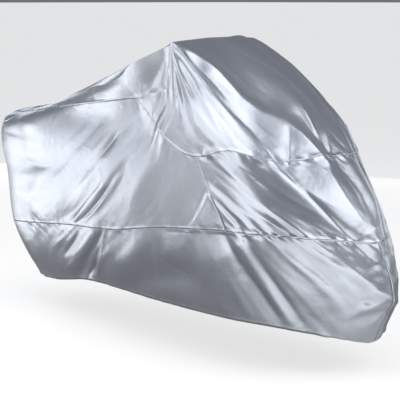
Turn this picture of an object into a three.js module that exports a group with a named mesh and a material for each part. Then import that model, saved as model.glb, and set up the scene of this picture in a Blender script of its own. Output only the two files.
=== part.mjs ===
// A fitted motorcycle cover of thin coated cloth, in the shape in which it hangs when it is on.
// Millimetres, +X to the nose, +Y to the left, +Z up. The origin is under the saddle, where the cover rests.
import * as THREE from 'three';

// Cloth and sewing
const SHEET = 2; // thickness of the cloth with its coating
const SEAM_GAP = 0.3; // between the edges of two panels that are sewn together

// Where the cover rests: heights in the tables below are above the ground, this point becomes the origin
const REST = new THREE.Vector3(-450, 0, 1022);

// The two peaks stand turned, so the right one is further forward than the left one
const TURN = THREE.MathUtils.degToRad(23);
const TURN_X = 112; // the upright axis of the turn
const TURN_REACH = 700; // how far from that axis the cloth still follows, fore and aft
const TURN_FROM = { height: 880, x: -900 };
const TURN_FULL = { height: 1280, x: 0 };

// The low part of the nose hangs to the left of the middle
const SWING = 90;
const SWING_FROM = { x: 500, height: 640 };
const SWING_FULL = { x: 1020, height: 340 };

const SADDLE_DIP = 111; // sag of the top between its two long edges

// Mesh steps. The crown's edge is a rectangle bent over the form: tail, right ridge, front and left ridge
const STEPS = { across: 28, along: 20, skirt: 6, band: 8, crown: 7 };

// One row for each line down which the cloth falls, from the tail along the right side to the nose.
// Points are x, y, height. A push is how far the cloth stands out halfway between its two points.
const FALL_COLUMNS = ['name', 'hem', 'belly', 'belt', 'chest', 'seam', 'crest', 'crown'];
const RIGHT_FALLS = table(FALL_COLUMNS, [
  ['tail centre', [-1010, 0, 140], 20, [-1200, 0, 370], 0, [-1318, 0, 850], 10, [-1262, 0, 915]],
  ['tail corner', [-900, -150, 150], 12, [-1130, -140, 385], 0, [-1266, -104, 852], 10, [-1208, -86, 918]],
  ['tail side', [-730, -205, 155], 10, [-870, -215, 412], 8, [-985, -158, 930], 5, [-960, -110, 948]],
  ['rear side', [-430, -262, 205], 10, [-520, -280, 452], 12, [-590, -205, 985], 5, [-600, -172, 1042]],
  ['middle', [-133, -302, 215], 8, [-95, -340, 490], 12, [-60, -282, 1056], 5, [-190, -262, 1165]],
  ['gusset', [20, -318, 213], 8, [90, -357, 523], 4, [45, -312, 995], -6, [-60, -312, 1220]],
  ['behind peak', [190, -328, 212], 6, [300, -369, 550], 0, [185, -345, 915], -8, [60, -358, 1275]],
  ['peak', [470, -328, 209], 6, [575, -372, 571], 0, [415, -362, 850], -4, [112, -390, 1302]],
  ['before peak', [610, -312, 203], 8, [720, -350, 574], 5, [580, -362, 888], 10, [118, -340, 1304]],
  ['shoulder', [750, -268, 186], 15, [850, -285, 572], 15, [705, -300, 862], 25, [116, -220, 1306]],
  ['nose side', [890, -165, 152], 34, [942, -170, 556], 28, [762, -168, 850], 45, [114, -110, 1308]],
  ['nose centre', [955, 0, 116], 60, [1015, 0, 535], 36, [790, 0, 862], 62, [112, 0, 1310]],
]);
const LEVELS = ['hem', 'belt', 'seam', 'crown'];
const SEAM_CORNER = 'middle'; // where the crown seam turns sharply down towards the front

// The main folds. Each runs through three places, given as the distance along the belt seam from the middle
// of the tail, right side first, and the height. Rise is up from the cloth, or down into it where negative.
// Width is from the fold's line to where it fades, a sharper fold has a lower roundness, and lean makes its
// right hand side, looking along it, the steeper one.
const FOLD_COLUMNS = ['name', 'from', 'via', 'to', 'rise', 'width', 'roundness', 'lean'];
const FOLDS = table(FOLD_COLUMNS, [
  ['hood valley', [1960, 1274], [2155, 1150], [2195, 1000], -14, 36, 1.4, -0.1],
  ['hood valley, low', [2195, 1000], [2238, 892], [2300, 770], -9, 38, 1.4, 0],
  ['nose valley', [2400, 555], [2455, 480], [2528, 424], -10, 40, 1.4, -0.3],
  ['hood ridge', [1970, 1277], [2172, 1215], [2238, 1090], 14, 42, 1.5, -0.3],
  ['hood ridge, low', [2205, 1185], [2250, 1075], [2330, 1000], 18, 46, 1.5, -0.35],
  ['hood flap', [2300, 1020], [2400, 962], [2475, 850], 20, 55, 1.4, 0],
  ['peak ridge', [1935, 1275], [2030, 1215], [2090, 1115], 20, 32, 1.4, -0.3],
  ['peak trough', [1855, 1268], [1975, 1140], [2040, 900], -6, 36, 1.5, 0],
  ['peak trough, rear', [1820, 1258], [1890, 1145], [1930, 1032], -6, 36, 1.5, 0],
  ['flap swell', [2460, 860], [2425, 730], [2455, 560], 6, 70, 1.6, 0],
  ['hood gap', [2490, 1040], [2515, 950], [2555, 850], -14, 42, 1.4, -0.4],
  ['hood gap, low', [2558, 950], [2552, 760], [2570, 590], -20, 62, 2, -0.12],
  ['hood streak', [2520, 1060], [2522, 985], [2530, 860], 6, 30, 1.5, 0],
  ['gusset trough', [1700, 1267], [1500, 1150], [1395, 1089], -9, 42, 1.6, 0],
  ['front trough', [2022, 860], [2200, 711], [2480, 396], -10, 48, 1.6, 0.4],
  ['front ridge', [2055, 890], [2260, 790], [2430, 515], 7, 46, 1.5, -0.2],
  ['front tension, upper', [1922, 822], [2165, 650], [2500, 332], 7, 36, 1.4, 0.2],
  ['front tension, lower', [1942, 762], [2115, 630], [2500, 319], 6, 34, 1.4, 0.1],
  ['corner tension', [1900, 746], [1948, 676], [2040, 588], 7, 34, 1.4, 0],
  ['skirt furrow, front', [1882, 557], [2060, 372], [2185, 211], -10, 38, 1.5, -0.4],
  ['skirt ridge, front', [1970, 530], [2100, 373], [2218, 199], 9, 36, 1.5, 0],
  ['skirt furrow, nose', [1985, 548], [2130, 378], [2250, 201], -11, 36, 1.5, -0.4],
  ['skirt roll, front', [2000, 420], [2220, 400], [2420, 360], 8, 110, 2, 0],
  ['skirt swell, nose', [2120, 520], [2290, 370], [2400, 190], 8, 60, 1.8, 0],
  ['nose tuck', [2360, 229], [2482, 266], [2520, 286], -9, 38, 1.6, 0],
  ['saddle roll', [700, 968], [940, 1012], [1190, 1062], 9, 42, 1.6, 0],
  ['tail crease', [235, 826], [500, 811], [690, 813], -5, 40, 1.6, 0],
  ['tail arc', [372, 700], [560, 690], [760, 750], -5, 40, 1.6, 0],
  ['side furrow, rear', [1070, 702], [905, 552], [672, 463], -12, 42, 1.6, 0],
  ['side ridge', [1188, 776], [1018, 604], [792, 458], 10, 38, 1.5, 0],
  ['side furrow', [1250, 790], [1080, 617], [885, 468], -7, 38, 1.5, 0],
  ['gusset ridge', [1558, 897], [1400, 722], [1230, 514], 5, 70, 1.8, 0],
  ['skirt ridge, rear', [1048, 469], [880, 345], [640, 240], 14, 38, 1.5, 0],
  ['skirt furrow, rear', [1085, 472], [960, 350], [720, 219], -16, 38, 1.5, 0],
  ['skirt swell', [1450, 515], [1330, 375], [1218, 302], 12, 60, 2, 0],
  ['skirt swell, front', [1592, 535], [1615, 460], [1632, 393], 10, 60, 2, 0],
  ['hem hollow', [1275, 258], [1628, 349], [1810, 342], -10, 60, 2, 0],
  ['left hood swell', [3090, 1275], [3000, 1205], [2915, 1010], 44, 125, 2, 0],
  ['left flank hollow', [2910, 950], [2845, 800], [2800, 560], -20, 110, 2, 0],
  ['left nose hollow', [2770, 490], [2675, 370], [2590, 240], -24, 90, 2, 0],
  ['left peak trough', [3190, 1262], [3090, 1120], [3010, 900], -14, 50, 1.6, 0],
  ['left gusset ridge', [3470, 890], [3640, 720], [3800, 520], 14, 70, 1.8, 0],
  ['left front trough', [2950, 850], [2830, 700], [2620, 400], -18, 50, 1.6, 0],
  ['left front ridge', [3080, 800], [2960, 640], [2700, 340], 14, 46, 1.6, 0],
  ['left side ridge', [3870, 770], [4040, 600], [4260, 455], 14, 42, 1.5, 0],
  ['left side furrow', [3960, 740], [4130, 570], [4330, 460], -12, 42, 1.5, 0],
  ['left tail crease', [4810, 824], [4560, 800], [4360, 815], -9, 40, 1.6, 0],
  ['left skirt furrow, front', [3160, 556], [2990, 372], [2860, 205], -15, 40, 1.6, 0],
  ['left skirt ridge, rear', [3990, 470], [4170, 350], [4400, 238], 14, 42, 1.5, 0],
  ['left skirt swell', [3500, 530], [3570, 410], [3680, 300], 10, 60, 2, 0],
]);

const CLOTH_COLOURS = {
  crown_panel: 0xb4b9c0,
  side_panel_right: 0xb1b6bd,
  side_panel_left: 0xb1b6bd,
  front_panel: 0xaeb3bb,
  skirt_right: 0xacb1b9,
  skirt_left: 0xacb1b9,
};

function table(columns, rows) {
  return rows.map((row) => Object.fromEntries(row.map((value, i) => [columns[i], value])));
}

function ease(value, from, full) {
  return THREE.MathUtils.smoothstep((value - from) / (full - from), 0, 1);
}

// Falls all round the cover: the right ones, then their mirror images from the nose back to the tail
function allFalls() {
  const toVector = (fall, side) => {
    const points = LEVELS.map((level) => [level, new THREE.Vector3(...fall[level]).multiply(side)]);
    return { ...fall, ...Object.fromEntries(points) };
  };
  const same = new THREE.Vector3(1, 1, 1);
  const mirrored = new THREE.Vector3(1, -1, 1);
  const left = RIGHT_FALLS.slice(1, -1).reverse();
  return [...RIGHT_FALLS.map((f) => toVector(f, same)), ...left.map((f) => toVector(f, mirrored))];
}

const falls = allFalls();
const spans = falls.map((fall, i) => fall.belt.distanceTo(falls[(i + 1) % falls.length].belt));
const places = spans.map((_, i) => spans.slice(0, i).reduce((sum, span) => sum + span, 0));
const girth = spans.reduce((sum, span) => sum + span, 0);
const placeOf = (name) => places[falls.findIndex((fall) => fall.name === name)];

function hermite(p0, p1, m0, m1, t) {
  const t2 = t * t;
  const t3 = t2 * t;
  return p0 * (2 * t3 - 3 * t2 + 1) + m0 * (t3 - 2 * t2 + t) + p1 * (3 * t2 - 2 * t3) + m1 * (t3 - t2);
}

// A smooth closed curve through one value of every fall, read at a place along the belt
function readRound(value, place, cornerName) {
  const count = falls.length;
  const at = THREE.MathUtils.euclideanModulo(place, girth);
  const k = places.findLastIndex((start) => start <= at);
  const slope = (i) => (value(falls[(i + 1) % count]) - value(falls[i])) / spans[i];
  const tangent = (i, side) => {
    const before = (i + count - 1) % count;
    if (falls[i].name === cornerName) return side < 0 ? slope(before) : slope(i);
    return (slope(i) * spans[before] + slope(before) * spans[i]) / (spans[i] + spans[before]);
  };
  const next = (k + 1) % count;
  const t = (at - places[k]) / spans[k];
  const m0 = tangent(k, 1) * spans[k];
  const m1 = tangent(next, -1) * spans[k];
  return hermite(value(falls[k]), value(falls[next]), m0, m1, t);
}

function pointRound(level, place) {
  const corner = level === 'seam' ? SEAM_CORNER : null;
  const read = (axis) => readRound((fall) => fall[level][axis], place, corner);
  return new THREE.Vector3(read('x'), read('y'), read('z'));
}

// The turn of the two peaks and the swing of the nose
function steer(point) {
  const turned = ease(point.z, TURN_FROM.height, TURN_FULL.height) * ease(point.x, TURN_FROM.x, TURN_FULL.x);
  const angle = TURN * turned;
  const reach = Math.max(0, 1 - Math.abs(point.x - TURN_X) / TURN_REACH);
  const dx = point.x - TURN_X;
  const x = TURN_X + dx * Math.cos(angle) - point.y * Math.sin(angle);
  const y = dx * Math.sin(angle) + point.y * Math.cos(angle);
  const fore = ease(point.x, SWING_FROM.x, SWING_FULL.x);
  const drop = (SWING_FROM.height - point.z) / (SWING_FROM.height - SWING_FULL.height);
  const low = THREE.MathUtils.clamp(drop, 0, 1);
  return new THREE.Vector3(
    THREE.MathUtils.lerp(point.x, x, reach),
    THREE.MathUtils.lerp(point.y, y, reach) + SWING * fore * low,
    point.z,
  );
}

// The curve down which the cloth falls at one place: from the hem, level 0, to the crown's edge, level 3
function fallLine(place) {
  const [hem, belt, seam, crown] = LEVELS.map((level) => pointRound(level, place));
  const ahead = pointRound('belt', place + 1).sub(pointRound('belt', place - 1));
  const outward = new THREE.Vector3(ahead.y, -ahead.x, 0).normalize();
  const halfway = (low, high, push) => {
    const rise = high.clone().sub(low).normalize();
    const out = outward.clone().addScaledVector(rise, -outward.dot(rise)).normalize();
    return low.clone().add(high).multiplyScalar(0.5).addScaledVector(out, push);
  };
  const pushAt = (column) => readRound((fall) => fall[column], place);
  const belly = halfway(hem, belt, pushAt('belly'));
  const chest = halfway(belt, seam, pushAt('chest'));
  const crest = halfway(seam, crown, pushAt('crest'));
  const knots = [hem, belly, belt, chest, seam, crest, crown].map(steer);
  const chords = knots.slice(1).map((knot, i) => knot.distanceTo(knots[i]));
  const slopes = chords.map((chord, i) => knots[i + 1].clone().sub(knots[i]).divideScalar(chord));
  const tangents = knots.map((_, i) => {
    if (i === 0) return slopes[0].clone();
    if (i === chords.length) return slopes[i - 1].clone();
    const blend = chords[i - 1] / (chords[i - 1] + chords[i]);
    return slopes[i - 1].clone().lerp(slopes[i], blend);
  });
  return (level) => {
    const k = Math.min(Math.floor(level * 2), chords.length - 1);
    const t = level * 2 - k;
    const along = (axis) => {
      const m0 = tangents[k][axis] * chords[k];
      const m1 = tangents[k + 1][axis] * chords[k];
      return hermite(knots[k][axis], knots[k + 1][axis], m0, m1, t);
    };
    return new THREE.Vector3(along('x'), along('y'), along('z'));
  };
}

// The place on the cloth, before any folds, at a distance along the belt and a height
function placeOnCloth([place, height]) {
  const line = fallLine(place);
  let low = 0;
  let high = 3;
  for (let step = 0; step < 30; step += 1) {
    const middle = (low + high) / 2;
    if (line(middle).z < height) low = middle;
    else high = middle;
  }
  return line(low);
}

function evenly(from, to, steps) {
  return Array.from({ length: steps + 1 }, (_, i) => THREE.MathUtils.lerp(from, to, i / steps));
}

// Places of the columns, from the middle of the tail round the right side, the nose and the left side
function columnPlaces() {
  const ridgeEnd = placeOf('rear side');
  const peak = placeOf('peak');
  const nose = placeOf('nose centre');
  const half = STEPS.across / 2;
  const right = [
    ...evenly(0, ridgeEnd, half).slice(0, -1),
    ...evenly(ridgeEnd, peak, STEPS.along).slice(0, -1),
    ...evenly(peak, nose, half),
  ];
  const left = right.slice(1, -1).reverse().map((place) => girth - place);
  return [...right, ...left];
}

const columns = columnPlaces();
const rowLevels = [
  ...evenly(0, 1, STEPS.skirt).slice(0, -1),
  ...evenly(1, 2, STEPS.band).slice(0, -1),
  ...evenly(2, 3, STEPS.crown),
];
const beltRow = STEPS.skirt;
const seamRow = beltRow + STEPS.band;
const crownRow = seamRow + STEPS.crown;
const half = STEPS.across / 2;
const peakColumn = half + STEPS.along;
const noseColumn = peakColumn + half;
const leftPeakColumn = noseColumn + half;

// Numbers of the mesh points: row by row round the cover, then the inside of the top
function ringPoint(row, column) {
  return row * columns.length + THREE.MathUtils.euclideanModulo(column, columns.length);
}

function topPoint(i, j) {
  if (i === 0) return ringPoint(crownRow, half - j);
  if (i === STEPS.along) return ringPoint(crownRow, peakColumn + j);
  if (j === 0) return ringPoint(crownRow, half + i);
  if (j === STEPS.across) return ringPoint(crownRow, -half - i);
  const inside = (i - 1) * (STEPS.across - 1) + (j - 1);
  return (crownRow + 1) * columns.length + inside;
}

// The top fills the crown's edge as a patch blended from its four sides, and sags in the middle
function topPatch(ring) {
  const edge = (i, j) => ring[topPoint(i, j)];
  const points = [];
  for (let i = 1; i < STEPS.along; i += 1) {
    for (let j = 1; j < STEPS.across; j += 1) {
      const a = i / STEPS.along;
      const b = j / STEPS.across;
      const ends = edge(0, j).clone().lerp(edge(STEPS.along, j), a);
      const sides = edge(i, 0).clone().lerp(edge(i, STEPS.across), b);
      const rear = edge(0, 0).clone().lerp(edge(0, STEPS.across), b);
      const front = edge(STEPS.along, 0).clone().lerp(edge(STEPS.along, STEPS.across), b);
      const point = ends.add(sides).sub(rear.lerp(front, a));
      point.z -= SADDLE_DIP * Math.sin(Math.PI * a) ** 2 * Math.sin(Math.PI * b);
      points.push(point);
    }
  }
  return points;
}

function quadsOfRows(fromRow, toRow, fromColumn, toColumn) {
  const quads = [];
  for (let row = fromRow; row < toRow; row += 1) {
    for (let column = fromColumn; column < toColumn; column += 1) {
      const low = [ringPoint(row, column), ringPoint(row, column + 1)];
      const high = [ringPoint(row + 1, column + 1), ringPoint(row + 1, column)];
      quads.push([...low, ...high]);
    }
  }
  return quads;
}

function quadsOfTop() {
  const quads = [];
  for (let i = 0; i < STEPS.along; i += 1) {
    for (let j = 0; j < STEPS.across; j += 1) {
      quads.push([topPoint(i, j), topPoint(i + 1, j), topPoint(i + 1, j + 1), topPoint(i, j + 1)]);
    }
  }
  return quads;
}

const panels = {
  crown_panel: [...quadsOfRows(seamRow, crownRow, 0, columns.length), ...quadsOfTop()],
  side_panel_right: quadsOfRows(beltRow, seamRow, 0, peakColumn),
  front_panel: quadsOfRows(beltRow, seamRow, peakColumn, leftPeakColumn),
  side_panel_left: quadsOfRows(beltRow, seamRow, leftPeakColumn, columns.length),
  skirt_right: quadsOfRows(0, beltRow, 0, noseColumn),
  skirt_left: quadsOfRows(0, beltRow, noseColumn, columns.length),
};

function splitQuad(points, [a, b, c, d]) {
  const acrossAC = points[a].distanceTo(points[c]) <= points[b].distanceTo(points[d]);
  return acrossAC ? [[a, b, c], [a, c, d]] : [[a, b, d], [b, c, d]];
}

function normalsOf(points, quads) {
  const normals = points.map(() => new THREE.Vector3());
  for (const [a, b, c] of quads.flatMap((quad) => splitQuad(points, quad))) {
    const toB = points[b].clone().sub(points[a]);
    const toC = points[c].clone().sub(points[a]);
    const area = toB.cross(toC);
    [a, b, c].forEach((corner) => normals[corner].add(area));
  }
  return normals.map((normal) => normal.normalize());
}

// How far a fold lifts the cloth at a point: full on its line, fading to its width and to its two ends
function foldLift(fold) {
  const ends = [fold.from, fold.to].map(placeOnCloth);
  const via = placeOnCloth(fold.via);
  const bend = via.clone().multiplyScalar(2).addScaledVector(ends[0], -0.5).addScaledVector(ends[1], -0.5);
  const steps = 16;
  const line = new THREE.QuadraticBezierCurve3(ends[0], bend, ends[1]).getPoints(steps);
  const away = new THREE.Vector3();
  const ahead = new THREE.Vector3();
  const segment = new THREE.Line3();
  return (point, normal) => {
    let best = Infinity;
    let along = 0;
    let side = 0;
    for (let i = 0; i < steps; i += 1) {
      segment.set(line[i], line[i + 1]);
      const t = segment.closestPointToPointParameter(point, true);
      segment.at(t, away).negate().add(point);
      if (away.length() < best) {
        best = away.length();
        along = (i + t) / steps;
        side = Math.sign(away.dot(segment.delta(ahead).cross(normal)));
      }
    }
    const width = fold.width * (1 - fold.lean * side);
    const taper = Math.sqrt(Math.sin(Math.PI * THREE.MathUtils.clamp(along, 0.02, 0.98)));
    return fold.rise * taper * Math.exp(-((best / width) ** fold.roundness));
  };
}

function drapedPoints() {
  const lines = columns.map(fallLine);
  const ring = rowLevels.flatMap((level) => lines.map((line) => line(level)));
  const smooth = [...ring, ...topPatch(ring)];
  const normals = normalsOf(smooth, Object.values(panels).flat());
  const lifts = FOLDS.map(foldLift);
  return smooth.map((point, i) => {
    const lift = lifts.reduce((sum, fold) => sum + fold(point, normals[i]), 0);
    return point.clone().addScaledVector(normals[i], lift);
  });
}

// The edges of a panel, each with the panel's cloth on its left
function panelEdges(triangles) {
  const edges = triangles.flatMap(([a, b, c]) => [[a, b], [b, c], [c, a]]);
  const known = new Set(edges.map(([a, b]) => `${a} ${b}`));
  return edges.filter(([a, b]) => !known.has(`${b} ${a}`));
}

// Draws the edge of a panel back by half a seam gap, square to the edge, at every point of it
function drawnBack(points, normals, edges) {
  const inward = new Map();
  for (const [a, b] of edges) {
    for (const corner of [a, b]) {
      const along = points[b].clone().sub(points[a]);
      const into = normals[corner].clone().cross(along).normalize();
      inward.set(corner, [...(inward.get(corner) ?? []), into]);
    }
  }
  const moved = [...points];
  for (const [corner, [first, second]] of inward) {
    const shift = first.clone().add(second).multiplyScalar(SEAM_GAP / 2 / (1 + first.dot(second)));
    moved[corner] = points[corner].clone().add(shift);
  }
  return moved;
}

// A closed sheet: the outer skin, the inner skin one thickness below it, and the cut edge between them
function panelGeometry(points, normals, quads) {
  const triangles = quads.flatMap((quad) => splitQuad(points, quad));
  const edges = panelEdges(triangles);
  const outer = drawnBack(points, normals, edges);
  const used = [...new Set(triangles.flat())];
  const order = new Map(used.map((corner, i) => [corner, i]));
  const out = (corner) => order.get(corner);
  const inn = (corner) => used.length + order.get(corner);
  const skin = used.map((corner) => outer[corner].clone().sub(REST));
  const lining = used.map((corner, i) => skin[i].clone().addScaledVector(normals[corner], -SHEET));
  const index = [
    ...triangles.flatMap(([a, b, c]) => [out(a), out(b), out(c)]),
    ...triangles.flatMap(([a, b, c]) => [inn(a), inn(c), inn(b)]),
    ...edges.flatMap(([a, b]) => [out(a), inn(a), out(b), out(b), inn(a), inn(b)]),
  ];
  const geometry = new THREE.BufferGeometry().setFromPoints([...skin, ...lining]);
  geometry.setIndex(index);
  geometry.computeVertexNormals();
  return geometry;
}

const points = drapedPoints();
const normals = normalsOf(points, Object.values(panels).flat());
const cover = new THREE.Group();
for (const [name, quads] of Object.entries(panels)) {
  const finish = { color: CLOTH_COLOURS[name], roughness: 0.4, metalness: 0.6 };
  const material = new THREE.MeshStandardMaterial(finish);
  const mesh = new THREE.Mesh(panelGeometry(points, normals, quads), material);
  mesh.name = name;
  cover.add(mesh);
}

export default cover;
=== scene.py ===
"""The looks of a fitted motorcycle cover: its panels of silver cloth with their folds, and its sewing.

The tables of the cloth are in millimetres, with heights above the ground as the cover hangs. The studio
and the finished pieces are in metres, about the place under the saddle where the cover rests.
"""

import functools
import math
import typing

import bpy
import numpy as np
from bpy.props import FloatProperty, FloatVectorProperty, PointerProperty
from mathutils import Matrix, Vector


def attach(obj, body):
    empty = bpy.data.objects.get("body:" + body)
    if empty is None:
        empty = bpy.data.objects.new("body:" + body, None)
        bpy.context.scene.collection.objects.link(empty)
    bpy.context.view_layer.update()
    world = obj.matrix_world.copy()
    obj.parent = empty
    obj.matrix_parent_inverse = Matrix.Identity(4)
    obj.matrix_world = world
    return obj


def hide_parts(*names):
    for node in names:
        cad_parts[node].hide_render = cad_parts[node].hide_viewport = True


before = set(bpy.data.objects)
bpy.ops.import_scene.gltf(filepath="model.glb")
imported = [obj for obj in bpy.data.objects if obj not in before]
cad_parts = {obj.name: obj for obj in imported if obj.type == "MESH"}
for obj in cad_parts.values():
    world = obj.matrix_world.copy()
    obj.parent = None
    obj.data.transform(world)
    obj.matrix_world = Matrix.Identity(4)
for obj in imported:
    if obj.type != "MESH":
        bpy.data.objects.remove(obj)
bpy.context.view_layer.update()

bl_info = {
    "name": "Motorcycle Cover",
    "version": (1, 0, 0),
    "blender": (4, 5, 0),
    "location": "View3D > Sidebar > Cover",
    "description": "Drapes a fitted cover of silver cloth, with its seams and its studio",
    "category": "Object",
}

MM = 0.001
REST = np.array((-450.0, 0.0, 1022.0))

# The form of the cover

# One row for each line down which the cloth falls, from the tail along the right side to the nose.
# Points are x, y, height. A push is how far the cloth stands out halfway between its two points.
FALL_COLUMNS = ("name", "hem", "belly", "belt", "chest", "seam", "crest", "crown")
RIGHT_FALLS = (
    ("tail centre", (-1010, 0, 140), 20, (-1200, 0, 370), 0, (-1318, 0, 850), 10, (-1262, 0, 915)),
    ("tail corner", (-900, -150, 150), 12, (-1130, -140, 385), 0, (-1266, -104, 852), 10, (-1208, -86, 918)),
    ("tail side", (-730, -205, 155), 10, (-870, -215, 412), 8, (-985, -158, 930), 5, (-960, -110, 948)),
    ("rear side", (-430, -262, 205), 10, (-520, -280, 452), 12, (-590, -205, 985), 5, (-600, -172, 1042)),
    ("middle", (-133, -302, 215), 8, (-95, -340, 490), 12, (-60, -282, 1056), 5, (-190, -262, 1165)),
    ("gusset", (20, -318, 213), 8, (90, -357, 523), 4, (45, -312, 995), -6, (-60, -312, 1220)),
    ("behind peak", (190, -328, 212), 6, (300, -369, 550), 0, (185, -345, 915), -8, (60, -358, 1275)),
    ("peak", (470, -328, 209), 6, (575, -372, 571), 0, (415, -362, 850), -4, (112, -390, 1302)),
    ("before peak", (610, -312, 203), 8, (720, -350, 574), 5, (580, -362, 888), 10, (118, -340, 1304)),
    ("shoulder", (750, -268, 186), 15, (850, -285, 572), 15, (705, -300, 862), 25, (116, -220, 1306)),
    ("nose side", (890, -165, 152), 34, (942, -170, 556), 28, (762, -168, 850), 45, (114, -110, 1308)),
    ("nose centre", (955, 0, 116), 60, (1015, 0, 535), 36, (790, 0, 862), 62, (112, 0, 1310)),
)

# Levels are counted up each fall from 0 at the hem, with a push halfway between every two of them
LEVELS = ("hem", "belt", "seam", "crown")
PUSHES = ("belly", "chest", "crest")
SPANS_A_LEVEL = 2
LAST_SPAN = SPANS_A_LEVEL * len(PUSHES) - 1
SEAM_CORNER = "middle"
HEIGHT_HALVINGS = 30

# The two peaks turn about an upright line, and the low part of the nose swings to the left
TURN_X = 112.0
TURN_REACH = 700.0
TURN_FROM = {"height": 880.0, "x": -900.0}
TURN_FULL = {"height": 1280.0, "x": 0.0}
SWING_FROM = {"x": 500.0, "height": 640.0}
SWING_FULL = {"x": 1020.0, "height": 340.0}

# Mesh steps: across the tail and the front, along each ridge, and up each band of cloth
ACROSS, ALONG = 168, 104
SKIRT_ROWS, BAND_ROWS, CROWN_ROWS = 64, 90, 58
ROW_GATHER = 0.6

# Folds and creases

# Paths that two lines share: a broad fold and the fine crease in it, or a crease and its stitches
UPPER_TENSION = ((1922, 822), (2165, 650), (2500, 332))
LOWER_TENSION = ((1942, 762), (2115, 630), (2500, 319))
FRONT_FURROW = ((1882, 557), (2060, 372), (2185, 211))
NOSE_FURROW = ((1985, 548), (2130, 378), (2250, 201))
DART = ((1210, 1059), (1502, 1087), (1695, 1108))

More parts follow.
